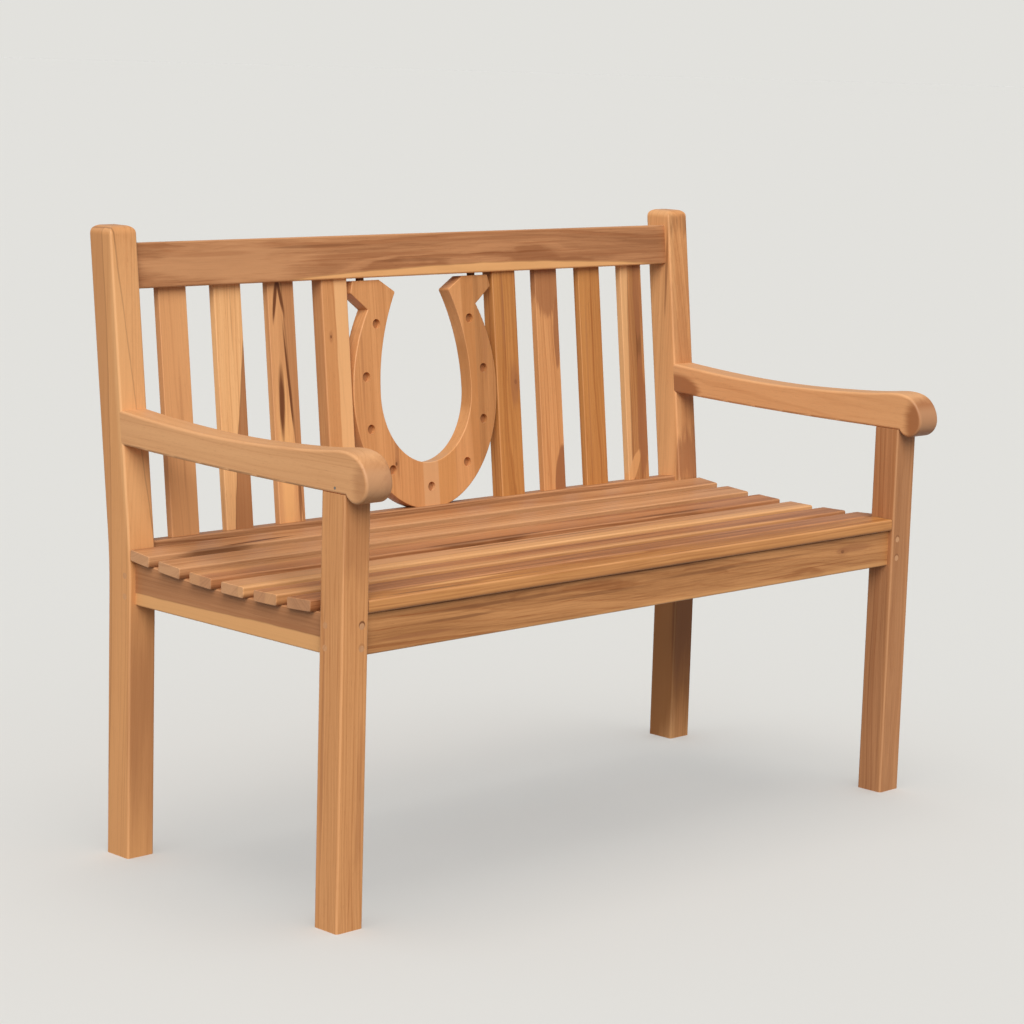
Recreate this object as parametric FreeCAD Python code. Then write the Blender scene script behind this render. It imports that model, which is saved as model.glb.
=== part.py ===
import FreeCAD, Part
import math
import os

# Garden bench in teak, built as an assembly of joinery pieces. Millimetres, +Z up, +Y to the back.
#
# The origin is on the ground under the middle of the bench, and -Y is the way a sitter faces.
# Pieces of the back are drawn upright and then leaned: there, x runs along the bench, y is the depth
# behind the front face of the back legs, and z is the height above the knee where those legs bend.

V = FreeCAD.Vector

# Overall sizes
bench_width = 1200.0
bench_height = 900.0
leg_width = 46.0
footprint_depth = 503.0
half_width = bench_width / 2
inner_face = half_width - leg_width

# Back legs
back_leg_depth = 50.0
knee_height = 430.0
knee_radius = 800.0
lean_angle = 6.2
crown_radius = 13.0
leg_edge = 3.5

# Arms: heights above the ground and the reach of the scroll in front of the leg
arm_underside = 587.0
arm_flat = 60.0
arm_lift = 9.5
arm_overrun = 14.0
scroll_reach = 41.5
arm_edge = 4.0

# Seat frame
rail_bottom = 369.0
rail_overrun = 6.0
rail_thickness = 28.0
rail_setback = 9.0
side_rail_setback = 10.0
front_rail_top = 425.7
rail_edge = 2.5

# Seat slats: they follow a shallow dish, a cylinder that lies along the bench
dish_radius = 2176.0
dish_low = 419.5
dish_centre = 199.0
dish_depth = 60.0
slat_thickness = 16.0
slat_width = 48.0
slat_pitch = 69.2
slat_count = 6
first_slat = 64.0
slat_edge = 3.0
slat_end_edge = 1.2
front_slat_thickness = 18.0
front_slat_width = 42.0
front_slat_setback = 2.0
front_slat_gap = 1.5
rear_slat_gap = 0.5

# Back frame, in leaned coordinates
lower_rail_top = 27.0
back_rail_height = 65.0
top_rail_bottom = 384.3
back_rail_front = 10.0
back_rail_thickness = 36.0
middle_depth = 29.0
back_slat_width = 50.0
back_slat_thickness = 12.0
back_slat_edge = 1.5
stile_width = 51.0
stile_thickness = 24.0
stile_centre = 178.5
back_slat_pitch = 100.5
slat_housing = 12.0

# Horseshoe panel: x from its middle, heights above its foot
shoe_thickness = 24.0
waist_height = 178.0
outer_half_width = 151.0
outer_drop = 183.0
inner_half_width = 95.5
inner_drop = 110.5
inner_corner = (56.0, 334.0)
tip_inner = (88.0, 353.5)
tip_outer = (142.0, 353.5)
outer_corner = (147.0, 335.0)
notch = (114.0, 309.0)
shoe_corner = 3.0
shoe_edge = 1.5
stave_joints = (16.0, 54.0, 109.0)
nail_hole_radius = 7.5
nail_hole_depth = 6.0
side_nail_holes = ((98.0, 286.6), (123.5, 207.0), (119.0, 126.7), (79.0, 61.4))
middle_nail_hole = (0.0, 29.2)

# Joints and fastenings
tenon_thickness = 14.0
rail_tenon = 19.0
top_rail_tenon = 28.0
side_tenon = 26.0
side_tenon_faces = (14.0, 26.0)
tenon_shoulder = 8.0
stile_tenon = 15.0
leg_tenon = 24.0
leg_tenon_height = 28.0
arm_tenon_width = 16.0
arm_tenon_depth = 24.0
arm_tenon_heights = (602.0, 634.0)
bearer_thickness = 28.0
bearer_bottom = 375.0
bearer_stub = 10.0
peg_radius = 4.5
peg_heights = (381.0, 411.0)
peg_inset = 12.0
peg_depth = 34.0
pin_radius = 2.0
pin_height = 594.0
pin_inset = 20.0
peg_spots = (0.3, 0.7)
peg_excess = 5.0
peg_setback = 2.0
tip_dowel_radius = 6.25
tip_dowel_x = 117.0
foot_dowel_radius = 4.0
foot_dowel_x = 28.0
dowel_depth = 15.0
screw_radius = 2.0
screw_head_radius = 3.5
screw_head_height = 3.0
screw_bite = 10.0
screw_length = 36.0
counterbore_radius = 4.5
front_screw_x = (-420.0, -140.0, 140.0, 420.0)

# How edges are told apart: any edge longer than this runs the length of a piece
long_edge = 60.0
tolerance = 0.01

# Places that follow from the sizes above
lean_slope = math.tan(math.radians(lean_angle))
rear_reach = footprint_depth + lean_slope * (bench_height - crown_radius - knee_height)
front_y = (scroll_reach - rear_reach) / 2
leg_back_y = front_y + leg_width
post_front_y = front_y + footprint_depth - back_leg_depth
dish_axis_y = front_y + dish_centre
dish_axis_z = dish_low + dish_radius


def box(x_range, y_range, z_range):
    size = [high - low for low, high in (x_range, y_range, z_range)]
    return Part.makeBox(*size, V(x_range[0], y_range[0], z_range[0]))


def across(point):
    """A (y, z) point of a side profile as a point in space."""
    return V(0, point[0], point[1])


def facing(point):
    """An (x, z) point of a front profile as a point in space."""
    return V(point[0], 0, point[1])


def rounded_outline(corners, place):
    """Closed wire through (u, v, radius) corners, with an arc at each corner that has a radius."""
    starts = []
    ends = []
    middles = []
    for index, (u, v, radius) in enumerate(corners):
        corner = V(u, v, 0)
        before = V(*corners[index - 1][:2], 0) - corner
        after = V(*corners[(index + 1) % len(corners)][:2], 0) - corner
        before.normalize()
        after.normalize()
        half_angle = before.getAngle(after) / 2
        tangent = radius / math.tan(half_angle)
        bisector = before + after
        bisector.normalize()
        starts.append(corner + before * tangent)
        ends.append(corner + after * tangent)
        middles.append(corner + bisector * (radius / math.sin(half_angle) - radius))
    edges = []
    for index, corner in enumerate(corners):
        start, middle, end = [place((p.x, p.y)) for p in (starts[index], middles[index], ends[index])]
        following = place(starts[(index + 1) % len(corners)][:2])
        if corner[2]:
            edges.append(Part.Arc(start, middle, end).toShape())
        edges.append(Part.LineSegment(end, following).toShape())
    return Part.Wire(edges)


def extruded(wire, along):
    return Part.Face(wire).extrude(along)


def in_plane(edge, axis, value):
    """Whether an edge lies in the plane where its coordinate along the axis has this value."""
    box_of_edge = edge.BoundBox
    low = getattr(box_of_edge, axis + "Min")
    high = getattr(box_of_edge, axis + "Max")
    return abs(low - value) < tolerance and abs(high - value) < tolerance


def eased_along_x(shape, radius):
    """Rounds the edges that run along the bench."""
    edges = [edge for edge in shape.Edges if edge.BoundBox.XLength > long_edge]
    return shape.makeFillet(radius, edges)


def eased_along_z(shape, radius):
    """Rounds the long upright edges."""
    edges = [edge for edge in shape.Edges if edge.BoundBox.ZLength > long_edge]
    return shape.makeFillet(radius, edges)


def eased_sides(shape, radius, x_values, skip_z=None):
    """Rounds the outline edges of the two faces of a piece that look along x."""
    edges = [edge for edge in shape.Edges if any(in_plane(edge, "X", x) for x in x_values)]
    if skip_z is not None:
        edges = [edge for edge in edges if not in_plane(edge, "Z", skip_z)]
    return shape.makeFillet(radius, edges)


def mirrored(shape):
    return shape.mirror(V(0, 0, 0), V(1, 0, 0))


def leaned(shape):
    """Moves a piece drawn upright into the plane of the leaning back."""
    copy = shape.copy()
    copy.rotate(V(0, 0, 0), V(1, 0, 0), -lean_angle)
    copy.translate(V(0, post_front_y, knee_height))
    return copy


def post_outline():
    """Side profile of a back leg: upright below the knee, leaning above it, rounded at the top."""
    back_y = post_front_y + back_leg_depth
    top_shift = lean_slope * (bench_height - knee_height)
    return rounded_outline([
        (post_front_y, 0.0, 0.0),
        (post_front_y, knee_height, knee_radius),
        (post_front_y + top_shift, bench_height, crown_radius),
        (back_y + top_shift, bench_height, crown_radius),
        (back_y, knee_height, knee_radius),
        (back_y, 0.0, 0.0),
    ], across)


def back_leg_blank():
    """The left back leg before its mortises, with a crown rounded on all four sides."""
    blank = extruded(post_outline(), V(leg_width, 0, 0))
    blank.translate(V(-half_width, 0, 0))
    blank = eased_sides(blank, leg_edge, (-half_width, -inner_face), skip_z=0.0)
    crown = rounded_outline([
        (-half_width, -1.0, 0.0),
        (-half_width, bench_height, crown_radius),
        (-inner_face, bench_height, crown_radius),
        (-inner_face, -1.0, 0.0),
    ], facing)
    crown_prism = extruded(crown, V(0, 2 * rear_reach, 0))
    crown_prism.translate(V(0, -rear_reach, 0))
    return blank.common(crown_prism)


def front_leg_blank():
    leg = box((-half_width, -inner_face), (front_y, leg_back_y), (0.0, arm_underside))
    return eased_along_z(leg, leg_edge)


def arm_blank():
    """The left arm: a scroll in front of the leg, a dipped top and an underside that lifts to the rear."""
    rear_y = post_front_y - front_y + arm_tenon_depth + arm_overrun
    crown_points = [
        (0.0, arm_underside), (-8.0, 580.0), (-19.5, 577.4), (-32.5, 583.0), (-40.6, 595.0),
        (-41.3, 608.0), (-36.0, 622.5), (-24.5, 635.5), (-7.0, 642.6), (40.0, 641.5),
        (120.0, 635.5), (215.0, 632.2), (350.0, 635.0), (rear_y, 645.5),
    ]
    places = [V(0, front_y + y, z) for y, z in crown_points]
    crown = Part.BSplineCurve()
    crown.interpolate(places)
    run = rear_y - arm_flat
    radius = (run ** 2 + arm_lift ** 2) / (2 * arm_lift)
    middle_z = arm_underside + radius - math.sqrt(radius ** 2 - (run / 2) ** 2)
    under_rear = V(0, front_y + rear_y, arm_underside + arm_lift)
    under_middle = V(0, front_y + arm_flat + run / 2, middle_z)
    under_flat = V(0, front_y + arm_flat, arm_underside)
    outline = [
        crown.toShape(),
        Part.LineSegment(places[-1], under_rear).toShape(),
        Part.Arc(under_rear, under_middle, under_flat).toShape(),
        Part.LineSegment(under_flat, places[0]).toShape(),
    ]
    arm = extruded(Part.Wire(outline), V(leg_width, 0, 0))
    arm.translate(V(-half_width, 0, 0))
    return eased_sides(arm, arm_edge, (-half_width, -inner_face))


def dish_cylinder(radius, x_range):
    """A cylinder along the bench, about the axis of the dish."""
    start = V(x_range[0], dish_axis_y, dish_axis_z)
    return Part.makeCylinder(radius, x_range[1] - x_range[0], start, V(1, 0, 0))


def dished(y_range, z_bottom, radius, x_range):
    """A board whose lower edge is straight and whose top edge follows the dish at this radius."""
    blank = box(x_range, y_range, (z_bottom, dish_low + dish_depth))
    return blank.cut(dish_cylinder(radius, x_range))


def side_rail_blank():
    outer = -half_width + side_rail_setback
    y_range = (leg_back_y, post_front_y + rail_overrun)
    rail = dished(y_range, rail_bottom, dish_radius, (outer, outer + rail_thickness))
    edges = [edge for edge in rail.Edges if edge.BoundBox.YLength > long_edge]
    return rail.makeFillet(rail_edge, edges)


def side_rail_tenons():
    """Front and rear tenon of the left side rail, near its outer face to clear the other tenons."""
    x_range = [-half_width + face for face in side_tenon_faces]
    bottom = rail_bottom + tenon_shoulder
    front = box(x_range, (leg_back_y - side_tenon, leg_back_y), (bottom, dish_low - tenon_shoulder))
    rear = box(x_range, (post_front_y, post_front_y + side_tenon), (bottom, dish_low))
    return front, rear


def front_rail_blank():
    y_range = (front_y + rail_setback, front_y + rail_setback + rail_thickness)
    rail = box((-inner_face, inner_face), y_range, (rail_bottom, front_rail_top))
    return eased_along_x(rail, rail_edge)


def front_rail_tenon():
    middle = front_y + rail_setback + rail_thickness / 2
    y_range = (middle - tenon_thickness / 2, middle + tenon_thickness / 2)
    z_range = (rail_bottom + tenon_shoulder, front_rail_top - tenon_shoulder)
    return box((-inner_face - rail_tenon, -inner_face), y_range, z_range)


def back_rail_blank(bottom):
    """A rail of the back before it is leaned."""
    y_range = (back_rail_front, back_rail_front + back_rail_thickness)
    rail = box((-inner_face, inner_face), y_range, (bottom, bottom + back_rail_height))
    return eased_along_x(rail, slat_edge)


def back_rail_tenon(bottom, length):
    middle = back_rail_front + back_rail_thickness / 2
    y_range = (middle - tenon_thickness / 2, middle + tenon_thickness / 2)
    z_range = (bottom + tenon_shoulder, bottom + back_rail_height - tenon_shoulder)
    return box((-inner_face - length, -inner_face), y_range, z_range)


def seat_slat(y_start, width):
    """A long slat between two dish cylinders, with rounded edges."""
    x_range = (-half_width, half_width)
    blank = dished((y_start, y_start + width), rail_bottom, dish_radius - slat_thickness, x_range)
    slat = eased_along_x(blank.common(dish_cylinder(dish_radius, x_range)), slat_edge)
    return eased_sides(slat, slat_end_edge, x_range)


def front_slat():
    y_range = (front_y + front_slat_setback, front_y + front_slat_setback + front_slat_width)
    end = inner_face - front_slat_gap
    slat = box((-end, end), y_range, (front_rail_top, front_rail_top + front_slat_thickness))
    return eased_along_x(slat, slat_edge)


def upright(x_middle, width, thickness, housing, edge):
    """A slat or stile of the back before it is leaned, reaching into both rails by its housing."""
    x_range = (x_middle - width / 2, x_middle + width / 2)
    y_range = (middle_depth - thickness / 2, middle_depth + thickness / 2)
    piece = box(x_range, y_range, (lower_rail_top - housing, top_rail_bottom + housing))
    return eased_along_z(piece, edge)


def stile(x_middle):
    """A stile with shoulders on the rails and a stub tenon at each end."""
    body = upright(x_middle, stile_width, stile_thickness, 0.0, rail_edge)
    x_range = (x_middle - stile_width / 2 + tenon_shoulder, x_middle + stile_width / 2 - tenon_shoulder)
    y_range = (middle_depth - back_slat_thickness / 2, middle_depth + back_slat_thickness / 2)
    tenons = box(x_range, y_range, (lower_rail_top - stile_tenon, top_rail_bottom + stile_tenon))
    return body.fuse(tenons).removeSplitter()


def ellipse_arc(half_x, drop, start_x, end_x, side):
    """Part of the lower half of an ellipse centred at the waist, between two x values."""
    def point(x):
        return V(side * x, 0, waist_height - drop * math.sqrt(1 - (x / half_x) ** 2))

    curve = Part.Ellipse(V(0, 0, waist_height - drop), V(half_x, 0, waist_height), V(0, 0, waist_height))
    first, second = sorted((curve.parameter(point(start_x)), curve.parameter(point(end_x))))
    if second - first > math.pi:
        first, second = second, first + 2 * math.pi
    return Part.ArcOfEllipse(curve, first, second).toShape()


def waist_arc(half_x, corner, side):
    """The arc that rises from the waist, upright there, and bends in to a corner."""
    rise = corner[1] - waist_height
    bend = half_x - corner[0]
    radius = (rise ** 2 + bend ** 2) / (2 * bend)
    middle_angle = math.asin(rise / radius) / 2
    middle_x = half_x - radius * (1 - math.cos(middle_angle))
    middle_z = waist_height + radius * math.sin(middle_angle)
    points = [(half_x, waist_height), (middle_x, middle_z), corner]
    return Part.Arc(*[V(side * x, 0, z) for x, z in points]).toShape()


def horseshoe_outline():
    foot_half = outer_half_width * math.sqrt(1 - (waist_height / outer_drop) ** 2)
    tip = (inner_corner, tip_inner, tip_outer, outer_corner, notch)
    edges = [Part.LineSegment(V(-foot_half, 0, 0), V(foot_half, 0, 0)).toShape()]
    for side in (-1, 1):
        edges.append(ellipse_arc(outer_half_width, outer_drop, foot_half, outer_half_width, side))
        edges.append(waist_arc(outer_half_width, notch, side))
        edges.append(waist_arc(inner_half_width, inner_corner, side))
        edges.append(ellipse_arc(inner_half_width, inner_drop, 0.0, inner_half_width, side))
        for (x, z), (next_x, next_z) in zip(tip, tip[1:]):
            edges.append(Part.LineSegment(V(side * x, 0, z), V(side * next_x, 0, next_z)).toShape())
    return Part.Wire(Part.__sortEdges__(edges))


def horseshoe_panel():
    """The whole panel before it is leaned, standing on the lower rail, with its nail holes."""
    panel = extruded(horseshoe_outline(), V(0, shoe_thickness, 0))
    corners = []
    for edge in panel.Edges:
        middle = edge.BoundBox.Center
        for x, z in (inner_corner, outer_corner):
            near = abs(abs(middle.x) - x) < tolerance and abs(middle.z - z) < tolerance
            if near and edge.BoundBox.YLength > tolerance:
                corners.append(edge)
    panel = panel.makeFillet(shoe_corner, corners)
    faces = [edge for edge in panel.Edges if in_plane(edge, "Y", 0.0) or in_plane(edge, "Y", shoe_thickness)]
    panel = panel.makeFillet(shoe_edge, [edge for edge in faces if not in_plane(edge, "Z", 0.0)])
    holes = [middle_nail_hole]
    for x, z in side_nail_holes:
        holes += [(x, z), (-x, z)]
    for x, z in holes:
        panel = panel.cut(Part.makeCylinder(nail_hole_radius, nail_hole_depth, V(x, 0, z), V(0, 1, 0)))
    panel.translate(V(0, middle_depth - shoe_thickness / 2, lower_rail_top))
    return panel


def staves(panel):
    """The panel cut along its glue joints, from the left stave to the right one."""
    joints = [-x for x in reversed(stave_joints)] + list(stave_joints)
    limits = [-half_width] + joints + [half_width]
    everywhere = (-half_width, bench_height)
    return [panel.common(box(pair, everywhere, everywhere)) for pair in zip(limits, limits[1:])]


def cylinder(radius, start, end):
    axis = end - start
    return Part.makeCylinder(radius, axis.Length, start, axis)


def screw(x, y, seat_z, bottom_z):
    """A screw driven up into a slat that rests at seat_z, and the hole it needs in the rail."""
    head_z = seat_z + screw_bite - screw_length
    head = Part.makeCylinder(screw_head_radius, screw_head_height, V(x, y, head_z))
    shank_z = head_z + screw_head_height
    shank = Part.makeCylinder(screw_radius, screw_length - screw_head_height, V(x, y, shank_z))
    bore = Part.makeCylinder(counterbore_radius, shank_z - bottom_z, V(x, y, bottom_z))
    return head.fuse(shank).removeSplitter(), bore


def dish_height(y, radius):
    return dish_axis_z - math.sqrt(radius ** 2 - (y - dish_axis_y) ** 2)


def subtract(shape, tools):
    for tool in tools:
        shape = shape.cut(tool)
    return shape


def both_sides(shape):
    return [shape, mirrored(shape)]


def with_end_tenons(rail, tenon):
    """A rail with this tenon at its left end and its mirror image at the other."""
    return rail.fuse(tenon).fuse(mirrored(tenon)).removeSplitter()


# Blanks of the frame, all drawn on the left and mirrored where they come in pairs
front_leg = front_leg_blank()
back_leg = back_leg_blank()
back_leg_whole = back_leg.copy()
front_leg_whole = front_leg.copy()

# Arm: stopped against the leaning back leg, with a tenon into it, and a mortise for the front leg
arm_middle_x = -half_width + leg_width / 2
arm_tenon = box(
    (arm_middle_x - arm_tenon_width / 2, arm_middle_x + arm_tenon_width / 2),
    (post_front_y, post_front_y + lean_slope * (arm_tenon_heights[1] - knee_height) + arm_tenon_depth),
    arm_tenon_heights)
arm_tenon = arm_tenon.common(back_leg_whole)
leg_tenon_half = leg_tenon / 2
leg_top_tenon = box(
    (arm_middle_x - leg_tenon_half, arm_middle_x + leg_tenon_half),
    (front_y + leg_width / 2 - leg_tenon_half, front_y + leg_width / 2 + leg_tenon_half),
    (arm_underside, arm_underside + leg_tenon_height))
arm = arm_blank().cut(back_leg_whole).fuse(arm_tenon).removeSplitter().cut(leg_top_tenon)
front_leg = front_leg.fuse(leg_top_tenon).removeSplitter()
back_leg = back_leg.cut(arm_tenon)

# Side rail, with its shoulder fitted to the bend of the back leg
side_tenon_front, side_tenon_rear = side_rail_tenons()
side_rail = side_rail_blank().cut(back_leg_whole)
side_rail = side_rail.fuse(side_tenon_front).fuse(side_tenon_rear.common(back_leg_whole)).removeSplitter()
front_leg = front_leg.cut(side_tenon_front)
back_leg = back_leg.cut(side_tenon_rear)

# Front rail
front_tenon = front_rail_tenon()
front_rail = with_end_tenons(front_rail_blank(), front_tenon)
front_leg = front_leg.cut(front_tenon)

# Rails of the back
lower_rail_bottom = lower_rail_top - back_rail_height
lower_tenon = leaned(back_rail_tenon(lower_rail_bottom, rail_tenon))
lower_rail = with_end_tenons(leaned(back_rail_blank(lower_rail_bottom)), lower_tenon)
top_tenon = leaned(back_rail_tenon(top_rail_bottom, top_rail_tenon))
top_rail = with_end_tenons(leaned(back_rail_blank(top_rail_bottom)), top_tenon)
back_leg = back_leg.cut(lower_tenon).cut(top_tenon)

# Slats and stiles of the back, numbered from the left
slat_places = [stile_centre + back_slat_pitch * step for step in (3, 2, 1)]
slat_places = [-x for x in slat_places] + list(reversed(slat_places))
back_slats = [
    leaned(upright(x, back_slat_width, back_slat_thickness, slat_housing, back_slat_edge))
    for x in slat_places
]
stiles = [leaned(stile(x)) for x in (-stile_centre, stile_centre)]

# Horseshoe, its dowels and its staves
panel = horseshoe_panel()
tip_top = lower_rail_top + tip_inner[1]
tip_dowel = cylinder(
    tip_dowel_radius,
    V(-tip_dowel_x, middle_depth, tip_top - dowel_depth),
    V(-tip_dowel_x, middle_depth, top_rail_bottom + dowel_depth))
foot_dowel = cylinder(
    foot_dowel_radius,
    V(-foot_dowel_x, middle_depth, lower_rail_top - dowel_depth),
    V(-foot_dowel_x, middle_depth, lower_rail_top + dowel_depth))
tip_dowels = both_sides(leaned(tip_dowel))
foot_dowels = both_sides(leaned(foot_dowel))
shoe_staves = [subtract(leaned(stave), tip_dowels + foot_dowels) for stave in staves(panel)]

# Bearer under the middle of the seat, stub-tenoned into the front and lower back rails
bearer_x = (-bearer_thickness / 2, bearer_thickness / 2)
stub_x = (-tenon_thickness / 2, tenon_thickness / 2)
front_rail_back = front_y + rail_setback + rail_thickness
stub_z = (bearer_bottom + tenon_shoulder, dish_low - tenon_shoulder)
bearer_y = (front_rail_back, post_front_y + back_rail_front + rail_overrun)
bearer = dished(bearer_y, bearer_bottom, dish_radius, bearer_x)
bearer = bearer.cut(leaned(back_rail_blank(lower_rail_bottom)))
bearer_front_stub = box(stub_x, (front_rail_back - bearer_stub, front_rail_back), stub_z)
bearer_rear_stub = box(stub_x, (post_front_y, post_front_y + back_rail_front + bearer_stub), stub_z)
bearer_rear_stub = bearer_rear_stub.common(leaned(back_rail_blank(lower_rail_bottom)))
bearer = bearer.fuse(bearer_front_stub).fuse(bearer_rear_stub).removeSplitter()
front_rail = front_rail.cut(bearer_front_stub)
lower_rail = lower_rail.cut(bearer_rear_stub)
lower_rail = subtract(lower_rail, back_slats + stiles + foot_dowels)
top_rail = subtract(top_rail, back_slats + stiles + tip_dowels)

# Seat slats: the front one between the legs, then the six long ones towards the back
seat_slats = [front_slat()]
for index in range(slat_count):
    start = front_y + first_slat + slat_pitch * index
    width = min(slat_width, post_front_y - rear_slat_gap - start)
    seat_slats.append(seat_slat(start, width))

# Screws from below through the side rails, the bearer and the front rail
side_rail_x = -half_width + side_rail_setback + rail_thickness / 2
screws = []
side_bores = []
bearer_bores = []
front_bores = []
for slat in seat_slats[1:]:
    y = slat.BoundBox.Center.y
    for x, bottom, bores in ((side_rail_x, rail_bottom, side_bores), (0.0, bearer_bottom, bearer_bores)):
        body, bore = screw(x, y, dish_height(y, dish_radius), bottom)
        screws.append(body)
        bores.append(bore)
        if x:
            screws.append(mirrored(body))
for x in front_screw_x:
    body, bore = screw(x, front_y + rail_setback + rail_thickness / 2, front_rail_top, rail_bottom)
    screws.append(body)
    front_bores.append(bore)
side_rail = subtract(side_rail, side_bores + screws)
bearer = subtract(bearer, bearer_bores + screws)
front_rail = subtract(front_rail, front_bores + screws)
seat_slats = [subtract(slat, screws) for slat in seat_slats]

# Pegs: each runs from outside the face of its leg and is trimmed flush with it
peg_x = -inner_face - peg_inset
front_pegs = []
side_pegs = []
for z in peg_heights:
    front_peg = cylinder(peg_radius, V(peg_x, front_y - peg_excess, z), V(peg_x, front_y + peg_depth, z))
    front_pegs.append(front_peg.common(front_leg_whole))
    for y, leg in ((leg_back_y - peg_inset, front_leg_whole), (post_front_y + peg_inset, back_leg_whole)):
        start = V(-half_width - peg_excess, y, z)
        end = V(-half_width + side_tenon_faces[1], y, z)
        side_pegs.append(cylinder(peg_radius, start, end).common(leg))
lower_pegs = []
top_pegs = []
for height, group in ((lower_rail_top, lower_pegs), (top_rail_bottom + back_rail_height, top_pegs)):
    for spot in peg_spots:
        start = V(peg_x, back_rail_front + peg_setback, height - back_rail_height * spot)
        end = V(peg_x, back_leg_depth + peg_excess, height - back_rail_height * spot)
        group.append(leaned(cylinder(peg_radius, start, end)).common(back_leg_whole))
arm_pin = cylinder(
    pin_radius,
    V(-half_width, front_y + pin_inset, pin_height),
    V(arm_middle_x, front_y + pin_inset, pin_height))

front_leg = subtract(front_leg, front_pegs + side_pegs + [arm_pin])
back_leg = subtract(back_leg, side_pegs + lower_pegs + top_pegs)
arm = arm.cut(arm_pin)
side_rail = subtract(side_rail, side_pegs)
front_rail = subtract(front_rail, front_pegs + [mirrored(peg) for peg in front_pegs])
lower_rail = subtract(lower_rail, lower_pegs + [mirrored(peg) for peg in lower_pegs])
top_rail = subtract(top_rail, top_pegs + [mirrored(peg) for peg in top_pegs])

nodes = {}
pairs = {"front_leg": front_leg, "back_leg": back_leg, "arm": arm, "side_seat_rail": side_rail}
for name, shape in pairs.items():
    nodes[name + "_left"] = shape
    nodes[name + "_right"] = mirrored(shape)
nodes["front_seat_rail"] = front_rail
nodes["lower_back_rail"] = lower_rail
nodes["top_back_rail"] = top_rail
nodes["seat_bearer"] = bearer
nodes["back_stile_left"], nodes["back_stile_right"] = stiles
numbered = {"seat_slat": seat_slats, "back_slat": back_slats, "horseshoe_stave": shoe_staves}
for name, shapes in numbered.items():
    for number, shape in enumerate(shapes, start=1):
        nodes[f"{name}_{number}"] = shape
groups = {
    "front_rail_pegs": front_pegs,
    "side_rail_pegs": side_pegs,
    "lower_rail_pegs": lower_pegs,
    "top_rail_pegs": top_pegs,
    "arm_pins": [arm_pin],
}
for name, shapes in groups.items():
    nodes[name] = Part.makeCompound(shapes + [mirrored(shape) for shape in shapes])
nodes["horseshoe_tip_dowels"] = Part.makeCompound(tip_dowels)
nodes["horseshoe_foot_dowels"] = Part.makeCompound(foot_dowels)
nodes["seat_slat_screws"] = Part.makeCompound(screws)

os.makedirs("parts", exist_ok=True)
for name, shape in nodes.items():
    shape.exportStep(f"parts/{name}.step")
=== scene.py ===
import math
import random
from collections import namedtuple

import bpy
from mathutils import Matrix, Vector


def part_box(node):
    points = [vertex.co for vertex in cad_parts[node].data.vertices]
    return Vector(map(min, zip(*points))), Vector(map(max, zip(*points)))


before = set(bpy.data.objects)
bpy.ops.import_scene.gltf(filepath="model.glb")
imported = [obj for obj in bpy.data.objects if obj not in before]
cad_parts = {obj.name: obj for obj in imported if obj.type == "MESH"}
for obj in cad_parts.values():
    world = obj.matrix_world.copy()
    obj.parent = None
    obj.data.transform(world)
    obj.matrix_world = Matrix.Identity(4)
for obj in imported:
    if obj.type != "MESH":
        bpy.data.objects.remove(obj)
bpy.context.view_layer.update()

# The garden bench: every board is a CAD node that gets its own teak, with its own grain, heartwood,
# sapwood and marks. Lengths are metres. The bench faces -Y and leans back towards +Y.

# Directions
X = (1, 0, 0)
Y = (0, 1, 0)
Z = (0, 0, 1)
LEAN = math.radians(6.2)
UP_BACK = (0, math.sin(LEAN), math.cos(LEAN))

# Studio: the floor's colour, the light that reaches it, and the dome above and below the bench
FLOOR_ALBEDO = (0.81, 0.802, 0.768)
FLOOR_LIGHT = 0.94
SKY_LIGHT = 0.42
GROUND_LIGHT = 0.26
HORIZON_BLUR = 0.05
FLOOR_FILL = (0.36, 0.39, 0.41)
FLOOR_RADIUS = 150.0
FLOOR_SIDES = 96
KEY_ANGLES = (40.0, -42.0)
KEY_STRENGTH = 3.25
KEY_SOFTNESS = 45.0
STRAIGHT_DOWN = (90.0, 0.0)
OVERHEAD_SOFTNESS = 50.0

# Camera
CAMERA_PLACE = (-2.9733, -2.9442, 1.1577)
CAMERA_YAW = -44.876
CAMERA_PITCH = -9.294
CAMERA_ROLL = 1.656
CAMERA_LENS = 99.18
SENSOR = 36.0

# Teak, as linear red, green and blue: the light and the dark wood of each kind of board
HONEY = ((0.700, 0.330, 0.128), (0.500, 0.208, 0.070))
GOLDEN = ((0.600, 0.265, 0.078), (0.410, 0.155, 0.038))
ARM_TAN = ((0.760, 0.400, 0.180), (0.580, 0.275, 0.112))
TAN = ((0.620, 0.310, 0.140), (0.430, 0.188, 0.076))
DEEP_GOLD = ((0.560, 0.255, 0.092), (0.350, 0.142, 0.045))
BROWN = ((0.510, 0.232, 0.098), (0.310, 0.125, 0.048))
RUSSET = ((0.520, 0.220, 0.088), (0.320, 0.118, 0.042))
SHADED = ((0.300, 0.128, 0.052), (0.170, 0.065, 0.024))
PALE = ((0.880, 0.500, 0.225), (0.680, 0.330, 0.125))

# Single colours for marks
SAPWOOD = (0.840, 0.440, 0.170)
# The next colour is dark heartwood, and also the colour of painted shade
HEARTWOOD_AND_SHADE = (0.330, 0.125, 0.046)
UMBER = (0.160, 0.052, 0.016)
SHADED_GOLD = (0.320, 0.118, 0.030)
END_GRAIN = (0.560, 0.300, 0.155)
# Paler wood on the edges: partly wear, partly a painted highlight
PALE_WEAR_AND_HIGHLIGHT = (0.860, 0.540, 0.300)

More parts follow.
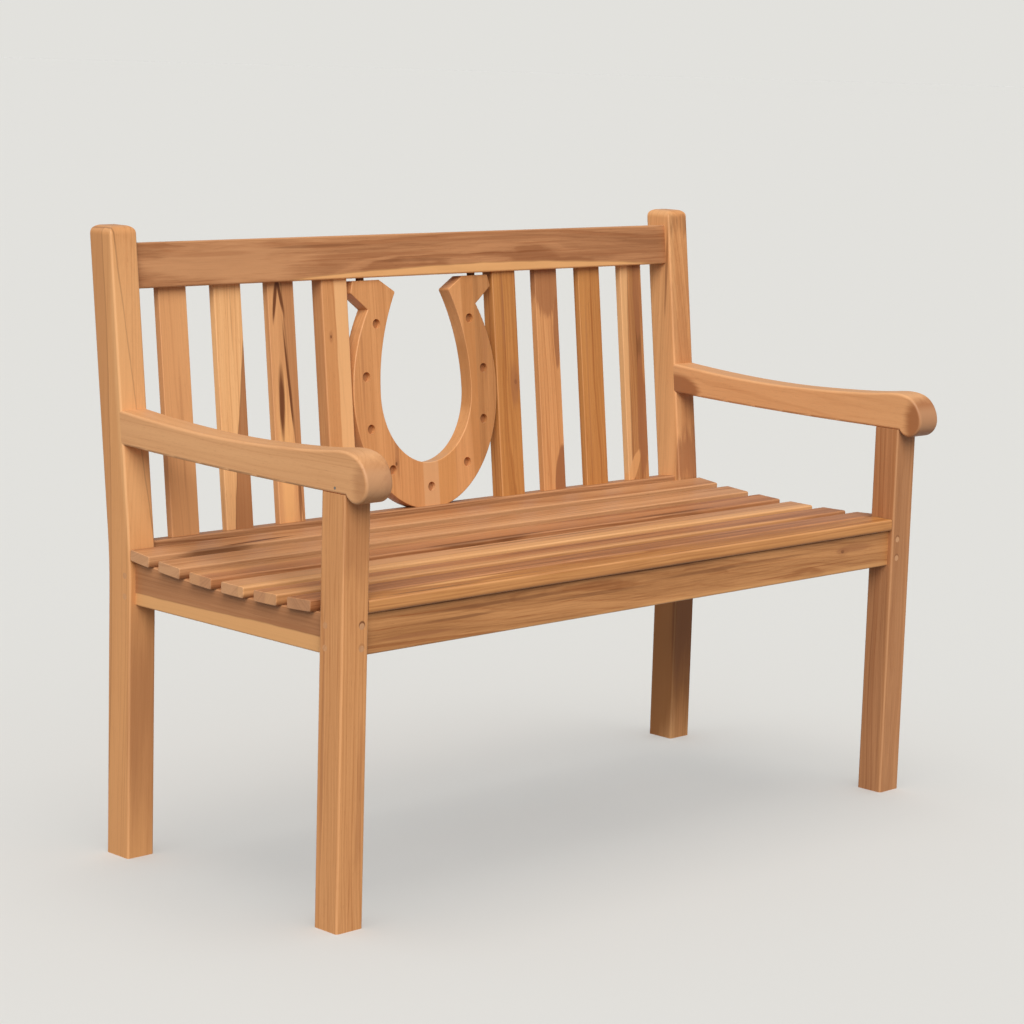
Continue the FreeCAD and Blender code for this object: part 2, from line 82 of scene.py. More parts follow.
# Patterns in the wood: how many times each one changes in a metre along, across and through a board
WANDER = (1.6, 9.0, 9.0)
RIPPLE = (14.0, 60.0, 60.0)
FIBRE = (8.0, 420.0, 420.0)
STREAK = (7.0, 330.0, 330.0)
BLOTCH = (2.2, 11.0, 11.0)
PORES = (70.0, 2300.0, 2300.0)
BAND_WOBBLE = (7.0, 40.0, 40.0)
TORN_RIM = (11.0, 170.0, 170.0)
WAVY_RIM = (9.0, 45.0, 45.0)

# Growth rings: how many there are to a metre, and how far they stray from round
BROAD_RINGS = 75.0
LATE_RINGS = 240.0
FINE_RINGS = 420.0
WANDER_WIDTH = 0.030
RIPPLE_WIDTH = 0.0022
SEED_SHIFT_Y = 0.37
SEED_SHIFT_Z = 0.71

# Where each pattern begins to show, and where it is full
LATE_RANGE = (0.56, 0.66)
STREAK_RANGE = (0.60, 0.70)
PORE_RANGE = (0.66, 0.74)

# How much each pattern moves the wood from light to dark
BROAD_SHARE = 1.3
FINE_SHARE = 1.0
FIBRE_SHARE = 1.3
BLOTCH_SHARE = 1.3
MIDDLE_TONE = 0.45
LINE_STRENGTH = 0.40
LINE_TINT = (0.64, 0.48, 0.36)
PORE_STRENGTH = 0.45
PORE_TINT = (0.50, 0.38, 0.30)

# Drawn at random for each board: the pith's angle, distance and tilt, and the seed of the patterns
PITH_ANGLE = (0.15, 1.4)
PITH_DISTANCE = (0.06, 0.16)
PITH_TILT = (-0.03, 0.03)
SEEDS = (1.0, 9.0)

# Marks
BAND_STRAY = 0.007
BAND_COVER = 0.8
BAND_LINE = (0.0019, 0.0002)
RIM_STRAY = 0.9
HALO_LENGTH = 5
HALO_WIDTH = 2.2
HALO_STRENGTH = 0.5
HEART_LENGTH = 1.5
PEG_RADIUS = 0.0045
PEG_RING = 1.4

# The surface of oiled wood
FIBRE_RELIEF = 0.5
LATE_RELIEF = 0.2
ROUGHNESS = 0.5
ROUGHNESS_CHANGE = -0.10
GLOSS = 0.25
BUMP_STRENGTH = 0.22
BUMP_DEPTH = 0.0004
# Paler edges, partly wear and partly a painted highlight: how strong, and over which slopes of the face
WEAR_AND_HIGHLIGHT_STRENGTH = 0.12
ARRIS_RANGE = (0.03, 0.2)
END_RANGE = (0.75, 0.95)
END_STRENGTH = 0.5
# Painted shade on faces that look down or into holes: the slopes it covers, how dark, and how soft its
# start
SHADED_RANGE = (0.15, 0.75)
SHADED_STRENGTH = 0.75
SHADED_BLUR = 0.001
SHORTEST_HALF_LENGTH = 0.02

# Faces given painted shade, the slats' undersides and the floors of the nail holes: the axis and sign
# of the way they face, and the depth they start at
UNDERSIDE_SHADE = ("Z", -1.0, -1.0)
NAIL_HOLE_SHADE = ("Z", -1.0, -0.010)

# Brushed steel
SCRATCHES = (900.0, 900.0, 9000.0)
STEEL = ((0.15, 0.14, 0.13), (0.28, 0.27, 0.25))
STEEL_ROUGHNESS = 0.25

# The rail pegs in the front legs, from the middle of the leg
UPPER_PEG = 0.1055
LOWER_PEG = 0.0755
PEG_OFFSET = 0.011

# How fast the front of a back leg runs back as it rises above the knee
LEG_SLANT = 0.1086


class Graph:
    """A short way to write the nodes of a material, a world or a node group."""

    def __init__(self, tree):
        self.tree = tree

    def feed(self, socket, value):
        """Links an output to a socket, or sets the socket's constant."""
        if isinstance(value, bpy.types.NodeSocket):
            self.tree.links.new(value, socket)
        else:
            socket.default_value = value

    def node(self, kind, inputs=None, **settings):
        made = self.tree.nodes.new(kind)
        for name, value in settings.items():
            setattr(made, name, value)
        for name, value in (inputs or {}).items():
            self.feed(made.inputs[name], value)
        return made

    def math(self, operation, first, second=0.0, third=0.0, clamp=False):
        made = self.node("ShaderNodeMath", operation=operation, use_clamp=clamp)
        for socket, value in zip(made.inputs, (first, second, third)):
            self.feed(socket, value)
        return made.outputs[0]

    def add(self, first, second):
        return self.math("ADD", first, second)

    def scale(self, first, second):
        return self.math("MULTIPLY", first, second)

    def step(self, value, low, high):
        """0 at low, 1 at high, and smooth between."""
        inputs = {"Value": value, "From Min": low, "From Max": high}
        made = self.node("ShaderNodeMapRange", inputs, interpolation_type="SMOOTHSTEP")
        return made.outputs["Result"]

    def mix(self, amount, first, second, blend="MIX"):
        """Two colours mixed; a plain colour is a tuple of three."""
        made = self.node("ShaderNodeMix", data_type="RGBA", blend_type=blend)
        amount_socket, first_socket, second_socket = made.inputs[0], made.inputs[6], made.inputs[7]
        self.feed(amount_socket, amount)
        for socket, value in ((first_socket, first), (second_socket, second)):
            self.feed(socket, (*value, 1.0) if isinstance(value, tuple) else value)
        return made.outputs[2]

    def noise(self, place, pattern, detail=2.0, roughness=0.5):
        """Noise from 0 to 1. A pattern is how many times it changes in a metre on each axis."""
        stretched = self.node("ShaderNodeVectorMath", {0: place, 1: pattern}, operation="MULTIPLY")
        inputs = {"Vector": stretched.outputs["Vector"], "Scale": 1.0,
                  "Detail": detail, "Roughness": roughness}
        return self.node("ShaderNodeTexNoise", inputs).outputs["Fac"]

    def stripes(self, value, scale, detail=2.0):
        inputs = {"W": value, "Scale": scale, "Detail": detail}
        return self.node("ShaderNodeTexNoise", inputs, noise_dimensions="1D").outputs["Fac"]

    def centred(self, value, amount):
        """A noise value moved from 0..1 to plus or minus half the amount."""
        return self.scale(self.math("SUBTRACT", value, 0.5), amount)

    def parts(self, vector):
        return self.node("ShaderNodeSeparateXYZ", {"Vector": vector}).outputs

    def finish(self, shader, kind="ShaderNodeOutputMaterial"):
        """Links a shader to the output of the material or the world."""
        self.feed(self.node(kind).inputs["Surface"], shader.outputs[0])


def empty_material(name):
    """A material without nodes, and the graph that fills it."""
    material = bpy.data.materials.new(name)
    material.use_nodes = True
    material.node_tree.nodes.clear()
    return material, Graph(material.node_tree)


def make_figure_group():
    """Teak's figure in a board's own space: x along the grain, y across it, z through the board.

    The growth rings are shells round a pith that lies beside the board, so that the faces, edges and
    ends of a board all show the same wood.
    """
    tree = bpy.data.node_groups.new("teak_figure", "ShaderNodeTree")
    sockets = (
        ("Board", "NodeSocketVector"), ("Pith", "NodeSocketVector"), ("Seed", "NodeSocketFloat"),
        ("Light", "NodeSocketColor"), ("Dark", "NodeSocketColor"), ("Contrast", "NodeSocketFloat"),
    )
    for name, kind in sockets:
        tree.interface.new_socket(name, in_out="INPUT", socket_type=kind)
    for name, kind in (("Color", "NodeSocketColor"), ("Relief", "NodeSocketFloat")):
        tree.interface.new_socket(name, in_out="OUTPUT", socket_type=kind)
    graph = Graph(tree)
    given = graph.node("NodeGroupInput").outputs
    seed = given["Seed"]
    shifts = {"X": seed, "Y": graph.scale(seed, SEED_SHIFT_Y), "Z": graph.scale(seed, SEED_SHIFT_Z)}
    shift = graph.node("ShaderNodeCombineXYZ", shifts).outputs["Vector"]
    shifted = graph.node("ShaderNodeVectorMath", {0: given["Board"], 1: shift}, operation="ADD")
    place = shifted.outputs["Vector"]

    wander = graph.centred(graph.noise(place, WANDER), WANDER_WIDTH)
    ripple = graph.centred(graph.noise(place, RIPPLE), RIPPLE_WIDTH)
    board = graph.parts(given["Board"])
    pith = graph.parts(given["Pith"])
    from_pith = graph.math("SUBTRACT", board["Y"], pith["Y"])
    side = graph.math("MULTIPLY_ADD", board["X"], pith["X"], from_pith)
    depth = graph.math("SUBTRACT", board["Z"], pith["Z"])
    distance = graph.math("SQRT", graph.add(graph.scale(side, side), graph.scale(depth, depth)))
    ring = graph.add(graph.add(distance, wander), graph.add(ripple, seed))

    broad = graph.stripes(ring, BROAD_RINGS)
    fine = graph.stripes(ring, FINE_RINGS, detail=3.0)
    late = graph.step(graph.stripes(ring, LATE_RINGS), *LATE_RANGE)
    fibre = graph.noise(place, FIBRE, detail=4.0, roughness=0.7)
    streak = graph.step(graph.noise(place, STREAK), *STREAK_RANGE)
    blotch = graph.noise(place, BLOTCH)
    pores = graph.step(graph.noise(place, PORES, detail=1.0), *PORE_RANGE)

    tone = graph.centred(broad, BROAD_SHARE)
    for value, share in ((fine, FINE_SHARE), (fibre, FIBRE_SHARE), (blotch, BLOTCH_SHARE)):
        tone = graph.add(tone, graph.centred(value, share))
    tone = graph.math("MULTIPLY_ADD", tone, given["Contrast"], MIDDLE_TONE, clamp=True)
    colour = graph.mix(tone, given["Light"], given["Dark"])
    lines = graph.scale(graph.add(late, streak), graph.scale(given["Contrast"], LINE_STRENGTH))
    colour = graph.mix(lines, colour, LINE_TINT, "MULTIPLY")
    colour = graph.mix(graph.scale(pores, PORE_STRENGTH), colour, PORE_TINT, "MULTIPLY")
    dents = graph.add(pores, graph.scale(late, LATE_RELIEF))
    relief = graph.math("SUBTRACT", graph.scale(fibre, FIBRE_RELIEF), dents)
    graph.node("NodeGroupOutput", {"Color": colour, "Relief": relief})
    return tree


FIGURE = make_figure_group()

# What a mark has to know of the board that it is painted on. A mark is a function that takes the
# board and its colour so far, and gives back the new colour. Marks are placed from the middle of the
# board's box, in the board's own x, y and z.
Board = namedtuple("Board", "graph place half_length")


def band(toward, edges, colour, strength=1.0, soft=0.0025, line=0.0):
    """Wood of another colour beyond a boundary that runs along the board.

    toward is the angle of the way the band lies, from the board's y to its z. edges are how far from
    the middle the boundary is at the board's start, middle and end. line darkens the boundary itself.
    """
    start, middle, end = edges
    y_share = math.cos(math.radians(toward))
    z_share = math.sin(math.radians(toward))

    def paint(board, base):
        graph = board.graph
        spots = graph.parts(board.place)
        along = graph.scale(spots["X"], 1.0 / board.half_length)
        bend = graph.math("MULTIPLY_ADD", along, (start + end) / 2 - middle, (end - start) / 2)
        boundary = graph.math("MULTIPLY_ADD", along, bend, middle)
        wobble = graph.noise(board.place, BAND_WOBBLE, detail=3.0, roughness=0.6)
        reach = graph.math("MULTIPLY_ADD", spots["Z"], z_share, graph.scale(spots["Y"], y_share))
        past = graph.add(graph.math("SUBTRACT", reach, boundary), graph.centred(wobble, BAND_STRAY))
        inside = graph.scale(graph.step(past, -soft, soft), strength)
        painted = graph.mix(inside, base, graph.mix(BAND_COVER, base, colour))
        if line:
            near = graph.step(graph.math("ABSOLUTE", past), *BAND_LINE)
            painted = graph.mix(graph.scale(near, line), painted, UMBER)
        return painted
    return paint


def flame(x, y, half_length, half_width, colour=HEARTWOOD_AND_SHADE, strength=0.8, slant=0.0, z=None,
          ragged=1.0, soft=0.55):
    """A streak or patch along the grain with ragged ends. With z it also ends inside the board."""
    def paint(board, base):
        graph = board.graph
        spots = graph.parts(board.place)
        from_x = graph.math("SUBTRACT", spots["X"], x)
        from_y = graph.math("MULTIPLY_ADD", from_x, -slant, graph.math("SUBTRACT", spots["Y"], y))
        along = graph.scale(from_x, 1.0 / half_length)
        across = graph.scale(from_y, 1.0 / half_width)
        squares = graph.math("MULTIPLY_ADD", along, along, graph.scale(across, across))
        if z is not None:
            from_z = graph.scale(graph.math("SUBTRACT", spots["Z"], z), 1.0 / half_width)
            squares = graph.math("MULTIPLY_ADD", from_z, from_z, squares)
        torn = graph.noise(board.place, TORN_RIM, detail=3.0, roughness=0.65)
        wavy = graph.noise(board.place, WAVY_RIM)
        rim = graph.add(graph.math("SQRT", squares), graph.centred(torn, RIM_STRAY * ragged))
        rim = graph.add(rim, graph.centred(wavy, RIM_STRAY * ragged))
        inside = graph.scale(graph.step(rim, 1.0, 1.0 - soft), strength)
        return graph.mix(inside, base, colour)
    return paint


def knot(x, y, radius, z=None, strength=0.85):
    """A small knot: a dark heart and a browner halo drawn out along the grain."""
    halo_size = (HALO_LENGTH * radius, HALO_WIDTH * radius)
    halo = flame(x, y, *halo_size, HEARTWOOD_AND_SHADE, HALO_STRENGTH * strength, z=z)
    heart = flame(x, y, HEART_LENGTH * radius, radius, UMBER, strength, z=z, ragged=0.5)
    return lambda board, base: heart(board, halo(board, base))


def peg_ring(strength, **middle):
    """A dark line round the end of a peg, from the place of its middle on the two axes across it."""
    def paint(board, base):
        graph = board.graph
        spots = graph.parts(board.place)
        squares = 0.0
        for axis, value in middle.items():
            away = graph.math("SUBTRACT", spots[axis.upper()], value)
            squares = graph.math("MULTIPLY_ADD", away, away, squares)
        rim = graph.step(graph.math("SQRT", squares), PEG_RADIUS * PEG_RING, PEG_RADIUS)
        return graph.mix(graph.scale(rim, strength), base, UMBER)
    return paint


def board_space(node, along, across):
    """The rotation, centre and half length of a board, from its box and two world directions."""
    low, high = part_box(node)
    along = Vector(along).normalized()
    through = along.cross(Vector(across)).normalized()
    across = through.cross(along)
    turn = Matrix((along, across, through)).transposed()
    half_length = abs(turn.col[0].dot(high - low)) / 2
    return turn, (low + high) / 2, max(half_length, SHORTEST_HALF_LENGTH)


def draw_pith(draw):
    """The tilt, y and z of a pith that lies on either side of the board."""
    angle = draw.uniform(*PITH_ANGLE) * draw.choice((-1, 1))
    distance = draw.uniform(*PITH_DISTANCE)
    return draw.uniform(*PITH_TILT), distance * math.sin(angle), distance * math.cos(angle)


def board_coordinates(graph, turn, centre):
    """The place of a point in the board's own space, and the way its face looks."""
    coordinates = graph.node("ShaderNodeTexCoord").outputs
    rotation = turn.to_euler("XYZ")
    inputs = {"Vector": coordinates["Object"], "Location": centre, "Rotation": rotation}
    place = graph.node("ShaderNodeMapping", inputs, vector_type="TEXTURE").outputs["Vector"]
    inputs = {"Vector": coordinates["Normal"], "Rotation": rotation}
    normal = graph.node("ShaderNodeMapping", inputs, vector_type="TEXTURE").outputs["Vector"]
    return place, graph.parts(normal)


def painted_shade_end_grain_and_edges(graph, place, facing, colour, shaded_side):
    """The colour with painted shade on faces that look down or into holes, end grain on the ends, and
    paler edges that are partly wear and partly a painted highlight.
    """
    # Painted shade on faces that look down, or into the nail holes, as if they lay in shadow
    if shaded_side:
        axis, sign, start = shaded_side
        turned = graph.step(graph.scale(facing[axis], sign), *SHADED_RANGE)
        inner = graph.step(graph.parts(place)[axis], start, start + SHADED_BLUR)
        shade = graph.scale(graph.scale(turned, inner), SHADED_STRENGTH)
        colour = graph.mix(shade, colour, HEARTWOOD_AND_SHADE)
    end = graph.step(graph.math("ABSOLUTE", facing["X"]), *END_RANGE)
    colour = graph.mix(graph.scale(end, END_STRENGTH), colour, END_GRAIN)
    # Paler edges where the face turns: partly wear, partly a painted highlight of the eased edges
    # catching the light
    flatness = graph.scale(facing["Z"], facing["Z"])
    arris = graph.scale(flatness, graph.math("SUBTRACT", 1.0, flatness))
    worn_and_lit = graph.step(arris, *ARRIS_RANGE)
    return graph.mix(graph.scale(worn_and_lit, WEAR_AND_HIGHLIGHT_STRENGTH), colour, PALE_WEAR_AND_HIGHLIGHT)


def teak(node, along, across, tones=HONEY, marks=(), contrast=1.0, pith=None, shaded_side=None):
    """Gives a CAD node its own teak. pith is (tilt, y, z) of the growth rings' centre."""
    light, dark = tones
    draw = random.Random(node)
    turn, centre, half_length = board_space(node, along, across)
    if pith is None:
        pith = draw_pith(draw)
    material, graph = empty_material("teak_" + node)
    place, facing = board_coordinates(graph, turn, centre)

    inputs = {"Board": place, "Pith": pith, "Seed": draw.uniform(*SEEDS), "Light": (*light, 1.0),
              "Dark": (*dark, 1.0), "Contrast": contrast}
    figure = graph.node("ShaderNodeGroup", node_tree=FIGURE)
    for name, value in inputs.items():
        graph.feed(figure.inputs[name], value)
    colour = figure.outputs["Color"]
    board = Board(graph, place, half_length)
    for mark in marks:
        colour = mark(board, colour)
    colour = painted_shade_end_grain_and_edges(graph, place, facing, colour, shaded_side)

    relief = figure.outputs["Relief"]
    roughness = graph.math("MULTIPLY_ADD", relief, ROUGHNESS_CHANGE, ROUGHNESS)
    inputs = {"Height": relief, "Strength": BUMP_STRENGTH, "Distance": BUMP_DEPTH}
    bump = graph.node("ShaderNodeBump", inputs)
    inputs = {"Base Color": colour, "Roughness": roughness, "Normal": bump.outputs["Normal"],
              "Specular IOR Level": GLOSS}
    graph.finish(graph.node("ShaderNodeBsdfPrincipled", inputs))
    dress(node, material)


def dress(node, material):
    """Puts a material on every slot of a CAD node."""
    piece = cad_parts[node]
    for slot in piece.material_slots:
        slot.material = material
    if not piece.material_slots:
        piece.data.materials.append(material)


def paint_legs():
    """Legs: the grain runs up, y is towards the back and z is towards the bench's left."""
    teak("front_leg_left", Z, Y, HONEY, [
        flame(0.24, -0.023, 0.10, 0.006, HEARTWOOD_AND_SHADE, 0.35),
        flame(-0.05, 0.012, 0.22, 0.003, HEARTWOOD_AND_SHADE, 0.4),
        flame(-0.12, -0.030, 0.14, 0.012, HEARTWOOD_AND_SHADE, 0.35, z=-0.012),
        peg_ring(0.85, x=UPPER_PEG, z=-PEG_OFFSET),
        peg_ring(0.25, x=LOWER_PEG, z=-PEG_OFFSET),
    ], 0.8)
    teak("front_leg_right", Z, Y, BROWN, [
        band(180, (0.015, 0.016, 0.013), HONEY[0], 0.18),
        flame(0.0, 0.004, 0.25, 0.004, HEARTWOOD_AND_SHADE, 0.4),
        peg_ring(0.4, x=UPPER_PEG, z=PEG_OFFSET),
        peg_ring(0.4, x=LOWER_PEG, z=PEG_OFFSET),
    ], 0.75)
    teak("back_leg_left", Z, Y, HONEY, [
        band(90, (-0.064, -0.0224, 0.019), PALE[1], 0.5, line=0.6),
        flame(0.22, -0.024, 0.28, 0.014, PALE[0], 0.35, slant=LEG_SLANT, ragged=0.3),
        band(0, (0.004, -0.006, 0.022), HEARTWOOD_AND_SHADE, 0.30, line=0.3),
        flame(0.02, 0.020, 0.030, 0.006, UMBER, 0.8, z=0.023),
        # Painted shade on the lower front face, under the seat
        flame(-0.24, -0.058, 0.28, 0.016, HEARTWOOD_AND_SHADE, 0.65, ragged=0.3),
    ], 0.7)
    teak("back_leg_right", Z, Y, HONEY, [
        band(90, (0.012, 0.012, 0.012), PALE[0], 0.3),
        flame(0.20, -0.034, 0.32, 0.012, HEARTWOOD_AND_SHADE, 0.55, slant=LEG_SLANT, ragged=0.4),
        flame(0.05, -0.046, 0.075, 0.010, HEARTWOOD_AND_SHADE, 0.8),
        flame(0.36, 0.000, 0.10, 0.004, UMBER, 0.5),
        # Darker lower leg under the seat: partly darker wood, partly painted shade
        flame(-0.26, 0.000, 0.26, 0.080, SHADED_GOLD, 0.85, ragged=0.15, soft=0.3),
        flame(-0.20, -0.052, 0.22, 0.012, UMBER, 0.6, ragged=0.6),
    ], 0.8)


def paint_arms():
    """Arms: the grain runs to the back, y is up and z is towards the bench's right."""
    teak("arm_left", Y, Z, ARM_TAN, [
        flame(-0.270, -0.010, 0.034, 0.060, HEARTWOOD_AND_SHADE, 0.45, ragged=0.5),
        flame(-0.265, -0.005, 0.030, 0.026, HEARTWOOD_AND_SHADE, 0.7, z=0.023),
        knot(-0.255, -0.012, 0.004, z=0.021),
    ], 0.45)
    teak("arm_right", Y, Z, ARM_TAN, [
        flame(0.245, -0.004, 0.060, 0.026, HEARTWOOD_AND_SHADE, 0.9, z=-0.023, ragged=0.35, soft=0.3),
        flame(-0.265, -0.010, 0.032, 0.060, HEARTWOOD_AND_SHADE, 0.9, ragged=0.3),
    ], 0.5)


def paint_rails():
    """Rails: y is up and z is towards the front, or towards the right on the side rails."""
    teak("top_back_rail", X, UP_BACK, BROWN, [
        flame(-0.38, 0.0, 0.20, 0.040, TAN[0], 0.6),
        band(180, (0.0605, 0.0189, 0.0351), SAPWOOD, 0.9, line=0.25),
        flame(-0.10, 0.002, 0.16, 0.004, HEARTWOOD_AND_SHADE, 0.6),
        flame(-0.42, 0.012, 0.09, 0.005, HEARTWOOD_AND_SHADE, 0.4),
        flame(0.35, -0.010, 0.22, 0.006, HEARTWOOD_AND_SHADE, 0.5),
        flame(0.15, 0.020, 0.25, 0.003, HEARTWOOD_AND_SHADE, 0.4),
        flame(-0.22, 0.018, 0.12, 0.003, UMBER, 0.45),
        flame(-0.02, -0.008, 0.10, 0.003, UMBER, 0.4),
    ], 1.1, (0.02, -0.02, -0.09))
    teak("lower_back_rail", X, UP_BACK, BROWN)
    teak("front_seat_rail", X, Z, DEEP_GOLD, [
        band(180, (0.029, 0.024, 0.020), SAPWOOD, 0.35),
        knot(0.44, 0.006, 0.0035),
        flame(-0.30, 0.014, 0.22, 0.0035, UMBER, 0.55),
        flame(-0.38, 0.002, 0.12, 0.003, UMBER, 0.55),
        flame(0.12, 0.010, 0.15, 0.003, UMBER, 0.5),
        flame(-0.45, -0.012, 0.10, 0.004, HEARTWOOD_AND_SHADE, 0.6),
        flame(-0.12, 0.004, 0.14, 0.003, UMBER, 0.45),
        flame(0.28, 0.012, 0.16, 0.003, UMBER, 0.45),
        flame(0.47, 0.010, 0.05, 0.008, HEARTWOOD_AND_SHADE, 0.5),
        # Painted shade along the top edge, where the front slat overhangs the rail
        band(0, (0.0262, 0.0262, 0.0262), UMBER, 0.9, soft=0.0006),
    ], 1.5, (0.045, 0.01, -0.05))
    for side in ("left", "right"):
        teak("side_seat_rail_" + side, Y, Z, BROWN, [
            flame(0.0, 0.0, 1.0, 0.1, TAN[1], 0.4),
            band(180, (0.0095, 0.0120, 0.0150), SAPWOOD, 0.85, soft=0.001, line=0.3),
            flame(-0.12, -0.006, 0.08, 0.003, HEARTWOOD_AND_SHADE, 0.5),
        ])
    teak("seat_bearer", Y, Z, BROWN)


def paint_seat():
    """Seat slats from the front: the grain runs along the bench, y is towards the back and z is up."""
    boards = (
        (GOLDEN, 1.2, [
            flame(-0.42, -0.012, 0.10, 0.006, UMBER, 0.6),
            flame(-0.30, -0.004, 0.14, 0.004, HEARTWOOD_AND_SHADE, 0.7),
            flame(-0.36, 0.010, 0.14, 0.006, SAPWOOD, 0.7),
            band(0, (0.03, 0.016, 0.008), HEARTWOOD_AND_SHADE, 0.3),
            flame(0.25, 0.008, 0.25, 0.006, HEARTWOOD_AND_SHADE, 0.5),
            band(180, (0.020, 0.020, 0.020), HONEY[0], 0.5),
        ]),
        (RUSSET, 1.1, [
            flame(-0.10, -0.010, 0.30, 0.005, UMBER, 0.5),
            flame(-0.52, -0.012, 0.05, 0.010, UMBER, 0.6),
            flame(0.30, 0.006, 0.20, 0.004, UMBER, 0.5),
        ]),
        (RUSSET, 1.1, [
            band(180, (0.0, 0.012, 0.026), SAPWOOD, 0.45),
            flame(0.05, 0.012, 0.25, 0.004, UMBER, 0.6),
            flame(-0.50, 0.0, 0.08, 0.012, HEARTWOOD_AND_SHADE, 0.6),
            flame(0.42, -0.01, 0.12, 0.004, UMBER, 0.5),
        ]),
        (TAN, 1.1, [
            band(180, (0.012, 0.004, 0.008), SAPWOOD, 0.6, line=0.2),
            flame(0.0, 0.012, 0.30, 0.004, UMBER, 0.55),
        ]),
        (RUSSET, 1.0, [
            flame(-0.05, -0.020, 0.20, 0.006, UMBER, 0.8),
            flame(0.33, -0.018, 0.12, 0.007, UMBER, 0.75),
            band(0, (0.0, 0.018, 0.03), SAPWOOD, 0.35),
        ]),
        (TAN, 0.9, [
            flame(-0.15, 0.004, 0.3, 0.003, HEARTWOOD_AND_SHADE, 0.5),
            flame(0.2, -0.012, 0.2, 0.003, UMBER, 0.35),
        ]),
        (TAN, 0.9, [
            flame(-0.48, -0.021, 0.08, 0.007, UMBER, 0.75),
            flame(-0.40, -0.012, 0.09, 0.0045, UMBER, 0.9, slant=0.05),
            flame(0.1, 0.004, 0.35, 0.004, HEARTWOOD_AND_SHADE, 0.35),
        ]),
    )
    # Painted shade along the lower front edge of every slat, where the gaps between the slats, and
    # between the front slat and the rail, lie in shadow
    gap_shade = flame(0.0, -0.026, 20.0, 0.010, UMBER, 0.85, z=-0.010, ragged=0.2, soft=0.7)
    for number, (tones, contrast, marks) in enumerate(boards, start=1):
        node = f"seat_slat_{number}"
        # The undersides of the slats get painted shade.
        teak(node, X, Y, tones, marks + [gap_shade], contrast, shaded_side=UNDERSIDE_SHADE)


def paint_back():
    """Uprights of the back: y is along the bench and z is towards the back."""
    teak("back_slat_1", UP_BACK, X, HONEY, [
        flame(0.0, 0.0, 0.6, 0.2, ARM_TAN[0], 0.35),
        flame(-0.02, 0.004, 0.12, 0.004, HEARTWOOD_AND_SHADE, 0.3),
    ], 0.6)
    teak("back_slat_2", UP_BACK, X, PALE, [
        band(0, (-0.010, 0.011, 0.040), RUSSET[1], 1.0, soft=0.001, line=0.5),
        flame(0.13, 0.004, 0.07, 0.0015, HEARTWOOD_AND_SHADE, 0.4),
    ], 0.7)
    teak("back_slat_3", UP_BACK, X, HONEY, [
        flame(0.0, 0.0, 0.6, 0.2, ARM_TAN[0], 0.35),
        flame(-0.08, -0.004, 0.15, 0.020, SAPWOOD, 0.7),
        band(0, (0.022, 0.010, 0.000), RUSSET[1], 0.6, line=0.5),
        flame(0.155, -0.012, 0.045, 0.0045, UMBER, 1.0, slant=0.16, ragged=0.6),
        flame(0.160, -0.002, 0.040, 0.0045, UMBER, 1.0, slant=-0.20, ragged=0.6),
        flame(0.035, 0.006, 0.100, 0.0030, UMBER, 1.0, slant=-0.07, ragged=0.6),
        flame(0.000, -0.009, 0.070, 0.0075, UMBER, 1.0, slant=0.02, ragged=0.7),
        flame(-0.140, 0.016, 0.060, 0.0040, UMBER, 0.7),
    ], 1.0)
    teak("back_slat_4", UP_BACK, X, HONEY, [
        flame(0.195, 0.000, 0.100, 0.040, HEARTWOOD_AND_SHADE, 0.75, ragged=0.5, soft=0.15),
        flame(0.075, 0.019, 0.060, 0.007, HEARTWOOD_AND_SHADE, 0.85, ragged=0.6, soft=0.2),
        flame(-0.165, 0.018, 0.062, 0.018, HEARTWOOD_AND_SHADE, 0.95, slant=0.05, ragged=0.3, soft=0.15),
    ], 0.8)
    teak("back_slat_5", UP_BACK, X, GOLDEN, [flame(0.0, -0.012, 0.2, 0.003, HEARTWOOD_AND_SHADE, 0.35)], 0.8)
    teak("back_slat_6", UP_BACK, X, DEEP_GOLD, [
        band(180, (0.014, 0.013, 0.008), PALE[0], 0.75, line=0.3),
        flame(-0.160, -0.012, 0.034, 0.011, PALE[1], 0.8, slant=0.5, ragged=0.5, soft=0.2),
        flame(0.02, 0.012, 0.17, 0.008, UMBER, 0.65),
        flame(-0.08, 0.013, 0.11, 0.013, HEARTWOOD_AND_SHADE, 0.9, soft=0.25),
        flame(0.13, 0.012, 0.07, 0.010, HEARTWOOD_AND_SHADE, 0.7, soft=0.25),
    ], 1.2)
    teak("back_stile_left", UP_BACK, X, HONEY, [
        band(0, (0.001, 0.000, -0.001), PALE[0], 0.75, soft=0.001),
        knot(0.093, -0.012, 0.0022),
        # Painted shade on the stile's left side face
        band(180, (0.0245, 0.0245, 0.0245), HEARTWOOD_AND_SHADE, 0.45),
    ], 0.7)
    teak("back_stile_right", UP_BACK, X, GOLDEN, [
        knot(0.002, 0.015, 0.0035),
        flame(0.0, 0.010, 0.05, 0.012, HEARTWOOD_AND_SHADE, 0.6),
        flame(0.12, -0.006, 0.10, 0.004, HEARTWOOD_AND_SHADE, 0.5),
    ], 0.9)


